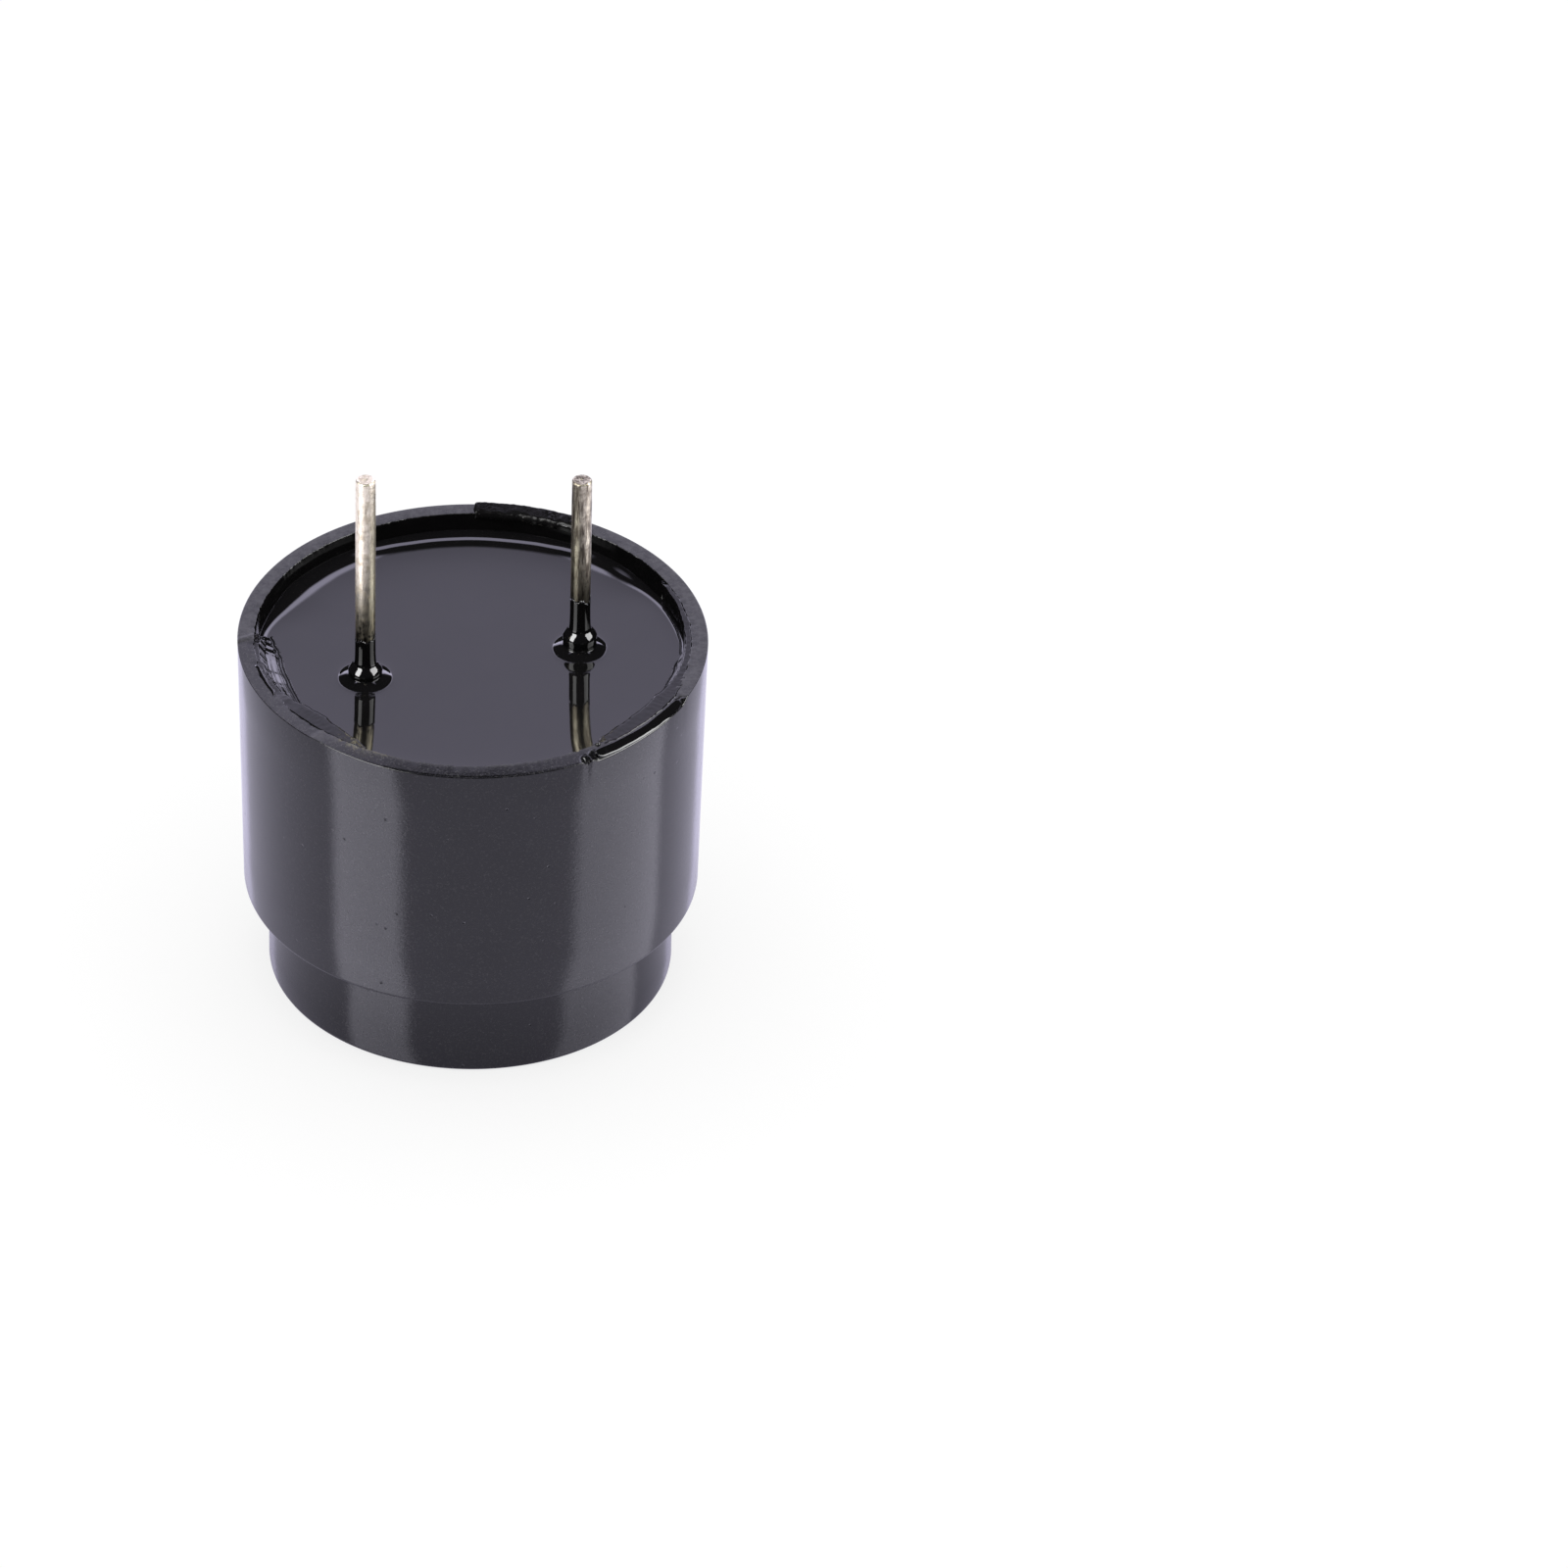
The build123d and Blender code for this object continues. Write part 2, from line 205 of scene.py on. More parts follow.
CAMERA_PLACE = Vector((-116.65, -462.62, 355.53))
CAMERA_FORWARD = Vector((0.22335, 0.77891, -0.58602))
CAMERA_RIGHT = Vector((0.96126, -0.27564, 0.0))
CAMERA_ROLL = 1.559
FOCAL_PIXELS = 12191.3
PICTURE_PIXELS = 1600
SENSOR_WIDTH = 36


def outer_radius(z):
    """Outside of the body's drafted wall at height z."""
    return RIM_RADIUS - (CASE_TOP - z) * DRAFT


def bore_radius(z):
    """Inside of the body's drafted wall at height z."""
    return outer_radius(z) - RIM_WALL


def smooth(t):
    """Smooth step from 0 to 1."""
    t = max(0.0, min(1.0, t))
    return t * t * (3 - 2 * t)


def wobble(seed, angle, waves, octaves=3):
    """Noise from about -1 to 1 that closes on itself round the circle, with a number of waves in a turn."""
    size = waves / (2 * math.pi)
    a = math.radians(angle)
    point = Vector((math.cos(a) * size, math.sin(a) * size, 17.3 * seed))
    return noise.fractal(point, 0.6, 2.1, octaves)


def stretch(angle, start, end, lead):
    """1 between two angles and 0 outside them, with soft ends of lead degrees."""
    half = (end - start) / 2
    off = abs((angle - (start + end) / 2 + 180) % 360 - 180)
    return smooth((half + lead / 2 - off) / lead)


def on_line(table, at):
    """Value at a place on straight lines through the (place, value) rows of a table."""
    for (low, a), (high, b) in zip(table, table[1:]):
        if at <= high:
            return a + (b - a) * (at - low) / (high - low)
    return table[-1][1]


def polar(radius, angle):
    """Point in the plane at a radius and an angle."""
    return radius * math.cos(math.radians(angle)), radius * math.sin(math.radians(angle))


def turned(radius, z, angle):
    """Point in space at a radius, a height and an angle."""
    return *polar(radius, angle), z


# Meshes

def mesh_piece(name, points, faces, materials, replaces=None, face_materials=None):
    """Makes a smooth-shaded piece from points in millimetres, which rides with the part's one body."""
    mesh = bpy.data.meshes.new(name)
    mesh.from_pydata([Vector(p) * MM for p in points], [], faces)
    mesh.validate()
    mesh.shade_smooth()
    piece = bpy.data.objects.new(name, mesh)
    bpy.context.scene.collection.objects.link(piece)
    for material in materials:
        mesh.materials.append(material)
    if face_materials:
        mesh.polygons.foreach_set("material_index", face_materials)
    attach(piece, "root")
    if replaces:
        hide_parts(replaces)


def rounded(corners, arc_pieces):
    """Closed outline through (radius, height, rounding, pieces) corners; straight runs are cut to pieces."""
    outline = []
    count = len(corners)
    for i in range(count):
        before = Vector(corners[i - 1][:2])
        here = Vector(corners[i][:2])
        after = Vector(corners[(i + 1) % count][:2])
        rounding, pieces = corners[i][2:]
        start = here + (before - here).normalized() * rounding
        end = here + (after - here).normalized() * rounding
        for k in range(arc_pieces + 1):
            t = k / arc_pieces
            outline.append(start.lerp(here, t).lerp(here.lerp(end, t), t))
        run_end = after + (here - after).normalized() * corners[(i + 1) % count][2]
        outline += [end.lerp(run_end, k / pieces) for k in range(1, pieces)]
    return outline


def lathe(outline, segments, shift=None):
    """Points and faces of a closed outline turned about Z; shift moves each (radius, height, angle)."""
    points, faces = [], []
    rows = len(outline)
    for k in range(segments):
        angle = 360 * k / segments
        for r, z in outline:
            if shift:
                r, z = shift(r, z, angle)
            points.append(turned(r, z, angle))
    for k in range(segments):
        here = k * rows
        there = (k + 1) % segments * rows
        for i in range(rows):
            j = (i + 1) % rows
            faces.append((here + i, there + i, there + j, here + j))
    return points, faces


def swept(name, sections, material):
    """Closed piece of resin from equally long loops of points, each the piece's section at one angle."""
    rows = len(sections[0])
    points = [p for section in sections for p in section]
    faces = [tuple(reversed(range(rows))), tuple(range(len(points) - rows, len(points)))]
    for k in range(len(sections) - 1):
        here = k * rows
        there = here + rows
        for i in range(rows):
            j = (i + 1) % rows
            faces.append((here + i, here + j, there + j, there + i))
    return mesh_piece(name, points, faces, [material])


# Materials

class Graph:
    """Short calls for the nodes that the finishes and the stage are made of."""

    def __init__(self, tree):
        self.tree = tree

    def node(self, kind, **settings):
        node = self.tree.nodes.new(kind)
        for key, value in settings.items():
            setattr(node, key, value)
        return node

    def link(self, source, target):
        self.tree.links.new(source, target)

    def feed(self, source, target):
        """Sets a number or a colour on an input, or links a socket to it."""
        if isinstance(source, (int, float)):
            target.default_value = source
        elif isinstance(source, tuple):
            target.default_value = (*source, 1)
        else:
            self.link(source, target)

    def calc(self, operation, a, b):
        """Result of a math node on two numbers or sockets."""
        node = self.node("ShaderNodeMath", operation=operation)
        self.feed(a, node.inputs[0])
        self.feed(b, node.inputs[1])
        return node.outputs[0]

    def vector(self, operation, a, b=None):
        """Result of a vector node on a socket and, where it needs one, a fixed vector."""
        node = self.node("ShaderNodeVectorMath", operation=operation)
        self.link(a, node.inputs[0])
        if b is not None:
            node.inputs[1].default_value = b
        return node.outputs["Value" if operation in ("DOT_PRODUCT", "LENGTH") else "Vector"]

    def part_of(self, source, axis):
        node = self.node("ShaderNodeSeparateXYZ")
        self.link(source, node.inputs[0])
        return node.outputs[axis]

    def span(self, value, low, high, to_low=0.0, to_high=1.0, shape="LINEAR"):
        """Maps low..high to to_low..to_high, clamped."""
        node = self.node("ShaderNodeMapRange", interpolation_type=shape)
        self.link(value, node.inputs["Value"])
        for key, number in (("From Min", low), ("From Max", high), ("To Min", to_low), ("To Max", to_high)):
            node.inputs[key].default_value = number
        return node.outputs["Result"]

    def fade(self, value, start, end):
        """1 below start and 0 beyond end."""
        return self.span(value, start, end, 1.0, 0.0, "SMOOTHSTEP")

    def pick(self, factor, a, b):
        """Number between a and b."""
        node = self.node("ShaderNodeMix", data_type="FLOAT")
        self.feed(factor, node.inputs[0])
        self.feed(a, node.inputs[2])
        self.feed(b, node.inputs[3])
        return node.outputs[0]

    def blend(self, factor, a, b):
        """Colour between a and b."""
        node = self.node("ShaderNodeMix", data_type="RGBA")
        self.feed(factor, node.inputs[0])
        self.feed(a, node.inputs[6])
        self.feed(b, node.inputs[7])
        return node.outputs[2]

    def sight(self):
        """1 for what is seen straight, mirrored or through glass, and the sockets of the first two."""
        path = self.node("ShaderNodeLightPath")
        straight = path.outputs["Is Camera Ray"]
        mirrored = path.outputs["Is Glossy Ray"]
        seen = self.calc("MAXIMUM", straight, mirrored)
        seen = self.calc("MAXIMUM", seen, path.outputs["Is Transmission Ray"])
        return seen, straight, mirrored


class Finish(Graph):
    """Material on one principled shader, whose textures run in millimetres of the part's frame."""

    def __init__(self, name, color, roughness, metallic=0.0, ior=1.5):
        self.material = bpy.data.materials.new(name)
        self.material.use_nodes = True
        super().__init__(self.material.node_tree)
        self.shader = self.tree.nodes["Principled BSDF"]
        self.set("Base Color", (*color, 1))
        self.set("Roughness", roughness)
        self.set("Metallic", metallic)
        self.set("IOR", ior)
        place = self.node("ShaderNodeTexCoord").outputs["Object"]
        self.place = self.vector("MULTIPLY", place, (1 / MM, 1 / MM, 1 / MM))

    def set(self, socket, value):
        self.shader.inputs[socket].default_value = value

    def drive(self, socket, source):
        self.link(source, self.shader.inputs[socket])

    def stretched(self, x, y, z):
        """The place with each axis scaled, so that a texture runs long where its number is small."""
        return self.vector("MULTIPLY", self.place, (x, y, z))

    def noise(self, scale, detail, roughness=0.5, place=None):
        node = self.node("ShaderNodeTexNoise")
        node.inputs["Scale"].default_value = scale
        node.inputs["Detail"].default_value = detail
        node.inputs["Roughness"].default_value = roughness
        self.link(place or self.place, node.inputs["Vector"])
        return node.outputs["Fac"]

    def cells(self, scale):
        node = self.node("ShaderNodeTexVoronoi")
        node.inputs["Scale"].default_value = scale
        self.link(self.place, node.inputs["Vector"])
        return node.outputs["Distance"]

    def height(self):
        return self.part_of(self.place, "Z")

    def bump(self, height, depth, under=None):
        """Normal from a height from 0 to 1 that stands for a depth in millimetres."""
        node = self.node("ShaderNodeBump")
        node.inputs["Distance"].default_value = depth * MM
        self.link(height, node.inputs["Height"])
        if under:
            self.link(under, node.inputs["Normal"])
        return node.outputs["Normal"]


def case_finish():
    """Satin moulded plastic: marks round the wall, grain, pale specks, pits and a painted sheen on the rim.
    """
    look = Finish("case_plastic", (0.006, 0.0058, 0.0062), 0.18)
    cloud = look.noise(0.35, 4)
    grain = look.noise(7.0, 4, 0.65)
    on_rim = look.span(look.height(), CASE_TOP - 0.07, CASE_TOP - 0.015)
    # Painted sheen: the rim's top is painted paler in a mottled pattern, and it is made rougher there.
    painted_rim_sheen = look.calc("MULTIPLY", on_rim, look.span(look.noise(2.6, 4, 0.65), 0.38, 0.62, 0.35, 1.0))
    specks = look.span(look.noise(8.0, 2, 0.7), 0.54, 0.68)
    plain = look.blend(look.span(cloud, 0.35, 0.65), (0.004, 0.004, 0.004), (0.007, 0.007, 0.008))
    plain = look.blend(specks, plain, (0.042, 0.041, 0.043))
    look.drive("Base Color", look.blend(painted_rim_sheen, plain, (0.05, 0.049, 0.052)))
    matt = look.calc("ADD", look.span(grain, 0.3, 0.7, -0.03, 0.04), look.calc("MULTIPLY", painted_rim_sheen, 0.14))
    look.drive("Roughness", look.calc("ADD", look.span(cloud, 0.3, 0.7, 0.08, 0.11), matt))
    grooves = look.noise(1.0, 2, 0.5, look.stretched(0.05, 0.05, 14.0))
    pits = look.span(look.cells(0.9), 0.0, 0.07)
    normal = look.bump(grain, 0.004)
    normal = look.bump(grooves, 0.002, normal)
    normal = look.bump(pits, 0.04, normal)
    look.drive("Normal", normal)
    return look.material


def resin_finish(name, roughness, ripple, specular):
    """Black epoxy: slow ripples and a little dust on its skin."""
    look = Finish(name, (0.0055, 0.0055, 0.0055), roughness, ior=1.58)
    look.set("Specular IOR Level", specular)
    dust = look.span(look.cells(2.2), 0.0, 0.03)
    cloud = look.span(look.noise(0.5, 3), 0.3, 0.7)
    look.drive("Base Color", look.blend(cloud, (0.0045, 0.0045, 0.0045), (0.0065, 0.006, 0.0065)))
    look.drive("Roughness", look.span(look.noise(0.8, 3), 0.35, 0.7, roughness * 0.8, roughness * 1.5))
    normal = look.bump(look.noise(0.45, 2), ripple)
    normal = look.bump(dust, 0.008, normal)
    look.drive("Normal", normal)
    return look.material


def tin_finish(name, bright, dull, dark, share, stain_top):
    """Dull tinned wire: streaks and mottle, a share of it dark, and a stain of resin up to a height."""
    look = Finish(name, bright, 0.3, metallic=1.0)
    streak = look.noise(1.0, 4, 0.6, look.stretched(7.0, 7.0, 0.9))
    mottle = look.noise(3.2, 4, 0.65)
    tone = look.blend(look.span(mottle, 0.42, 0.64), bright, dull)
    tone = look.blend(look.span(streak, 0.68 - share, 0.84 - share), tone, dark)
    ragged = look.span(look.calc("ADD", streak, mottle), 0.7, 1.3, -1.2, 1.2)
    stain = look.span(look.calc("ADD", look.height(), ragged), TIN_Z + 0.2, stain_top, 1.0, 0.0)
    look.drive("Base Color", look.blend(stain, tone, (0.035, 0.03, 0.025)))
    look.drive("Roughness", look.span(mottle, 0.35, 0.65, 0.30, 0.42))
    normal = look.bump(streak, 0.015)
    normal = look.bump(mottle, 0.02, normal)
    look.drive("Normal", normal)
    return look.material


def plain_finish(name, color, dark, roughness, metallic, scale, depth, run=(1, 1, 1)):
    """Even surface of two near tones with a grain of a depth; run stretches the grain."""
    look = Finish(name, color, roughness, metallic)
    grain = look.noise(scale, 4, 0.6, look.stretched(*run))
    look.drive("Base Color", look.blend(look.span(grain, 0.35, 0.65), color, dark))
    look.drive("Roughness", look.span(grain, 0.3, 0.7, roughness * 0.85, min(1.0, roughness * 1.2)))
    look.drive("Normal", look.bump(grain, depth))
    return look.material


# Case

def case_outline():
    """Section of the case with rounded edges; its front face is set back so that the mark stands proud."""
    inner_nose = NOSE_RADIUS - NOSE_WALL
    corners = [
        (HOLE_RADIUS, FLARE_DEPTH, 0.06, 20),
        (FLARE_RADIUS, MARK_HEIGHT, 0.06, 8),
        (NOSE_RADIUS, MARK_HEIGHT, 0.2, 4),
        (NOSE_RADIUS, NOSE_HEIGHT, 0.12, 2),
        (outer_radius(NOSE_HEIGHT), NOSE_HEIGHT, 0.2, 6),
        (RIM_RADIUS, CASE_TOP, 0.05, 6),
        (bore_radius(CASE_TOP), CASE_TOP, 0.04, 60),
        (bore_radius(LEDGE_Z), LEDGE_Z, 0.05, 2),
        (inner_nose, LEDGE_Z, 0.1, 3),
        (inner_nose, FRONT_WALL, 0.2, 4),
        (HOLE_RADIUS, FRONT_WALL, 0.05, 2),
    ]

    def buried(r, z):
        """True on the straight bore, well under the resin, which needs no rows of its own."""
        return LEDGE_Z + 0.5 < z < CASE_TOP - 2.2 and r < bore_radius(z) + 0.1

    return [(r, z) for r, z in rounded(corners, 4) if not buried(r, z)]


def flare_shift(r, z, angle):
    """Turning marks on the flare of the sound hole, as one spiral ridge."""
    share = (r - HOLE_RADIUS) / (FLARE_RADIUS - HOLE_RADIUS)
    if not 0.02 < share < 0.98:
        return r, z
    ridge = FLARE_RIDGE * math.sin(2 * math.pi * FLARE_RIDGES * share + math.radians(angle))
    return r + ridge * 0.4, z - ridge * 0.9 if z > MARK_HEIGHT + 0.02 else z


def case_shift(r, z, angle):
    """Faults of the moulding: a wavy rim, a ragged inner edge, a crack with a raised lip and a nick."""
    if r < FLARE_RADIUS and z < FLARE_DEPTH:
        return flare_shift(r, z, angle)
    if z < CASE_TOP - 0.6 or r < bore_radius(z) - 0.1:
        return r, z
    near_top = smooth((z - (CASE_TOP - 0.5)) / 0.4)
    across = (r - bore_radius(CASE_TOP)) / RIM_WALL
    z += near_top * (RIM_WAVE * wobble(1, angle, 9) - RIM_SINK)
    z -= near_top * FRONT_DROP * across * stretch(angle, *ROUNDED_FRONT)
    if across < 0.5 and z > CASE_TOP - 0.12:
        teeth = abs(wobble(2, angle, 150, 2)) * (0.5 - max(across, 0.0)) / 0.5
        r += TEETH_REACH * teeth
        z -= TEETH_DROP * teeth
    lip = math.exp(-((angle - CRACK_ANGLE - CRACK_SLANT * across) / CRACK_WIDTH) ** 2)
    z += near_top * (LIP_HEIGHT * lip - WORN_DROP * stretch(angle, *WORN_LEFT))
    outer_edge = min(1.0, max(0.0, (across - 0.35) / 0.65))
    z -= near_top * CHIP_DROP * outer_edge * stretch(angle, *CHIPPED_RIGHT)
    nick = math.exp(-((angle - NICK_ANGLE) / NICK_WIDTH) ** 2) * smooth((across - 0.55) / 0.3)
    z -= near_top * NICK_DROP * nick
    return r, z


def make_case(plastic, film):
    """The stepped cup. Its bore above the resin carries a thin film of resin."""
    outline = case_outline()
    points, faces = lathe(outline, CASE_SEGMENTS, case_shift)
    wet = [LEDGE_Z + 0.1 < z < CASE_TOP - 0.03 and r < bore_radius(z) + 0.05 for r, z in outline]
    rows = len(outline)
    kinds = [int(wet[i % rows] and wet[(i + 1) % rows]) for i in range(len(faces))]
    mesh_piece("case_shell", points, faces, [plastic, film], "case", kinds)


# Resin

def wall_height(x, y):
    """Height of the resin over its level, away from the pins: it wets the bore and has slow waves."""
    angle = math.degrees(math.atan2(y, x))
    off = max(0.0, bore_radius(LEVEL) - math.hypot(x, y))
    back = stretch(angle, *WET_BACK)
    front = stretch(angle, *WET_FRONT)
    contact, reach = [a + b * back + c * front for a, b, c in zip(WETTING, MORE_AT_BACK, MORE_AT_FRONT)]
    contact += 0.02 * wobble(3, angle, 14)
    wide_height, wide_reach = WIDE_RISE
    height = contact * math.exp(-off / reach) + wide_height * math.exp(-off / wide_reach)
    return height + 0.006 * noise.noise(Vector((x * 0.22, y * 0.22, 3.1)))


def bead_outline(lift, film_top):
    """Collar of resin round a pin, as (radius, height): a low foot, a lifted ball and a film up the pin."""
    line = []
    corners = BEAD_FOOT + tuple((r, h + lift) for r, h in BALL)
    for (r0, h0), (r1, h1) in zip(corners, corners[1:]):
        line += [(r0 + (r1 - r0) * k / 3, h0 + (h1 - h0) * k / 3) for k in range(3)]
    low = corners[-1][1]
    for k in range(15):
        t = k / 14
        radius = PIN_RADIUS + FILM_THICKNESS + FILM_FLARE * (1 - t) ** 4
        line.append((radius, low + (film_top - low) * t))
    return line


def resin_plan():
    """Points of the resin's face seen from above, with the rim and the beads' edges as closed loops."""
    points, loops = [], []
    rim = bore_radius(LEVEL) + 0.01
    fine_band = 2.7
    centres = [Vector((side * PIN_OFFSET, 0)) for side in SIDES.values()]

    def ring(centre, radius, count, inside=math.inf):
        """Adds a ring's points that are nearer than a distance to the middle, and gives their numbers.

        Points with odd numbers are moved on by half a step.
        """
        found = []
        for k in range(count):
            a = 2 * math.pi * (k + 0.5 * (len(points) % 2)) / count
            p = centre + Vector((radius * math.cos(a), radius * math.sin(a)))
            if p.length < inside:
                found.append(len(points))
                points.append(p)
        return found

    middle = Vector((0, 0))
    loops.append(ring(middle, rim, CASE_SEGMENTS))
    for centre in centres:
        loops.append(ring(centre, BEAD_EDGE, BEAD_SEGMENTS))

    # Rings that lie closer together toward the rim
    off, gap = 0.0, 0.04
    while off < fine_band - 0.1:
        off += gap
        ring(middle, rim - off, int(CASE_SEGMENTS / max(1.0, gap / 0.07)))
        gap *= 1.13

    # Rings round each bead
    for centre in centres:
        for radius, count in ((2.1, 72), (2.25, 64), (2.45, 56)):
            ring(centre, radius, count, rim - fine_band)

    # Even triangles over the rest
    pitch = 0.33
    steps = int(rim / pitch) + 1
    for j in range(-steps, steps + 1):
        for i in range(-steps, steps + 1):
            p = Vector(((i + 0.5 * (j % 2)) * pitch, j * pitch * 0.866))
            clear = min((p - centre).length for centre in centres)
            if p.length < rim - fine_band - 0.05 and clear > 2.55:
                points.append(p)
    return points, loops


def make_resin(material):
    """One closed body: wavy face, a bead round each pin, the bore's wall and the face on the board."""
    plan, loops = resin_plan()
    edges = [(loop[i], loop[(i + 1) % len(loop)]) for loop in loops for i in range(len(loop))]
    found = delaunay_2d_cdt(plan, edges, [], 0, 1e-6)
    flat, triangles, origins = found[0], found[2], found[3]
    place = {old: new for new, olds in enumerate(origins) for old in olds}
    rim, *collars = [[place[i] for i in loop] for loop in loops]
    points = [(p.x, p.y, LEVEL + wall_height(p.x, p.y)) for p in flat]
    faces = [tuple(t) for t in triangles if not any(set(t) <= set(collar) for collar in collars)]

    def band(row, new_points):
        """Adds a closed row of points, joins the last row to it and returns it."""
        fresh = list(range(len(points), len(points) + len(row)))
        points.extend(new_points)
        for k in range(len(row)):
            j = (k + 1) % len(row)
            faces.append((row[k], row[j], fresh[j], fresh[k]))
        return fresh

    for (pole, side), row in zip(SIDES.items(), collars):
        centre = Vector((side * PIN_OFFSET, 0))
        angles = [math.degrees(math.atan2(*(flat[v] - centre).yx)) for v in row]
        outline = bead_outline(BALL_LIFTS[pole], FILM_TOPS[pole])
        film_top = outline[-1][1]
        for radius, height in outline[1:]:
            new_points = []
            for angle in angles:
                reach = radius * (1 + 0.03 * wobble(5 + side, angle, 4) * smooth((radius - 0.55) / 0.2))
                ragged = smooth((height - film_top + 0.5) / 0.5) * 0.3 * wobble(8 + side, angle, 9)
                x, y = centre + Vector(polar(reach, angle))
                new_points.append((x, y, LEVEL + wall_height(x, y) + height + ragged))
            row = band(row, new_points)
        for z in (LEVEL + film_top - 0.4, BOARD_TOP):
            row = band(row, [(*(centre + Vector(polar(TAIL_RADIUS, angle))), z) for angle in angles])
        faces.append(tuple(row))
    bottom_radius = bore_radius(BOARD_TOP) + 0.01
    low = band(rim[::-1], [(*(flat[v].normalized() * bottom_radius), BOARD_TOP) for v in rim[::-1]])
    faces.append(tuple(low))
    mesh_piece("resin_fill", points, faces, [material], "potting_resin")


def rim_spill(name, material, angles, radii, height, lean, seed, ends=(3.0, 3.0)):
    """Lump of resin on the rim between two angles and two radii, tapered over its ends in degrees.

    It leans inward where lean is above 0, and outward below it.
    """
    sections = []
    start, end = angles
    inner, outer = radii
    middle = (inner + outer) / 2
    steps = int((end - start) / 0.4)
    for k in range(steps + 1):
        angle = start + (end - start) * k / steps
        taper = min(1.0, (angle - start) / ends[0], (end - angle) / ends[1])
        taper = 0.06 + 0.94 * math.sqrt(max(0.0, 1 - (1 - taper) ** 2))
        low = middle + (inner - middle) * taper + 0.04 * taper * wobble(seed, angle, 60)
        high = middle + (outer - middle) * taper + 0.02 * taper * (wobble(seed + 1, angle, 50) - 1)
        section = []
        for i in range(26):
            t = i / 25
            x, y = polar(low + (high - low) * t, angle)
            lump = 1 + 0.12 * noise.noise(Vector((x * 1.6, y * 1.6, seed)))
            lump += 0.10 * noise.noise(Vector((x * 5.0, y * 5.0, seed + 4)))
            crown = 1 - abs(2 * t - 1) ** 7
            slant = lean * (t - 0.5) - abs(lean) / 2
            z = CASE_TOP - 0.03 + taper * (slant + (height * lump + 0.03) * crown)
            section.append((x, y, z))
        for i in range(10):
            t = 1 - (i + 1) / 11
            section.append(turned(low + (high - low) * t, CASE_TOP - 0.1 - abs(lean), angle))
        sections.append(section)
    swept(name, sections, material)


def climb(name, material, table, seed):
    """Skin of resin that rises from a crease in the face to the rim, with a thin ridge along the crease."""
    sections = []
    start, end = table[0][0], table[-1][0]
    steps = int((end - start) / 0.35)
    for k in range(steps + 1):
        angle = start + (end - start) * k / steps
        after = next(i for i in range(1, len(table)) if angle <= table[i][0] + 1e-6)
        here, there = table[after - 1], table[after]
        share = smooth((angle - here[0]) / (there[0] - here[0]))
        crease, top, top_z, outer = [a + (b - a) * share for a, b in zip(here[1:], there[1:])]
        crease += 0.03 * wobble(seed, angle, 40)
        top += 0.06 * wobble(seed + 1, angle, 60)
        outer += 0.05 * wobble(seed + 2, angle, 110)
        base = LEVEL + wall_height(*polar(crease, angle))
        section = [(crease - 0.02, base - 0.12)]
        section += [(crease + away, base + rise) for away, rise in CREASE_RIDGE]
        foot, foot_z = section[-1]
        wave_phase = 2.0 * wobble(seed + 3, angle, 6)
        wave_size = 0.5 + 0.5 * wobble(seed + 4, angle, 20)
        for i in range(1, 23):
            t = i / 22
            r = foot + (top - foot) * t
            streak = 0.012 * math.sin(22 * r + wave_phase) * math.sin(math.pi * t) * wave_size
            section.append((r, foot_z + (top_z - foot_z) * on_line(CLIMB_RISE, t) + streak))
        for i in range(1, 9):
            r = top + (outer - top) * i / 8
            x, y = polar(r, angle)
            grit = 0.012 * noise.fractal(Vector((x * 5, y * 5, seed)), 0.6, 2.1, 3)
            section.append((r, top_z + 0.02 + grit))
        section.append((outer + 0.03, CASE_TOP - 0.12))
        section.append((bore_radius(CASE_TOP - 0.2) - 0.005, CASE_TOP - 0.2))
        section.append((bore_radius(base) - 0.005, base - 0.12))
        sections.append([turned(r, z, angle) for r, z in section])
    swept(name, sections, material)


def spill_drop(name, material, radius, angle, z, size):
    """Small round drop of resin."""
    line = []
    for a in range(-90, 91, 10):
        across, up = polar(size, a)
        line.append((max(NEAR_AXIS, across), z + up))
    x, y = polar(radius, angle)
    points, faces = lathe(line, 24)
    points = [(px + x, py + y, pz) for px, py, pz in points]
    mesh_piece(name, points, faces, [material])


# Pins

def make_pin(pole, material):
    """Tinned wire from its tail under the board to a cut tip with a slight burr."""
    side, tip = SIDES[pole], TIPS[pole]
    tail_rows, bare_rows = 20, 150
    line = [(NEAR_AXIS, TAIL_Z), (TAIL_RADIUS - 0.05, TAIL_Z), (TAIL_RADIUS, TAIL_Z + 0.05)]
    for k in range(1, tail_rows + 1):
        line.append((TAIL_RADIUS, TAIL_Z + 0.05 + (TIN_Z - TAIL_Z - 0.1) * k / tail_rows))
    for k in range(bare_rows + 1):
        line.append((PIN_RADIUS - 0.008, TIN_Z + (tip - 0.12 - TIN_Z) * k / bare_rows))
    line += [(radius, tip - depth) for radius, depth in CUT_END]

    def shift(r, z, angle):
        """Uneven tin on the bare wire, and the burr round its tip."""
        if z > TIN_Z and r > 0.3:
            x, y = polar(3, angle)
            r += 0.006 * noise.fractal(Vector((x, y, 1.1 * z + 40 * side)), 0.6, 2.1, 3)
            if z > tip - 0.15:
                z += 0.018 * wobble(12 + side, angle, 6)
        return r, min(z, tip)

    points, faces = lathe(line, 48, shift)
    points = [(x + side * PIN_OFFSET, y, z) for x, y, z in points]
    mesh_piece(pole + "_wire", points, faces, [material], pole + "_pin")


# Polarity mark

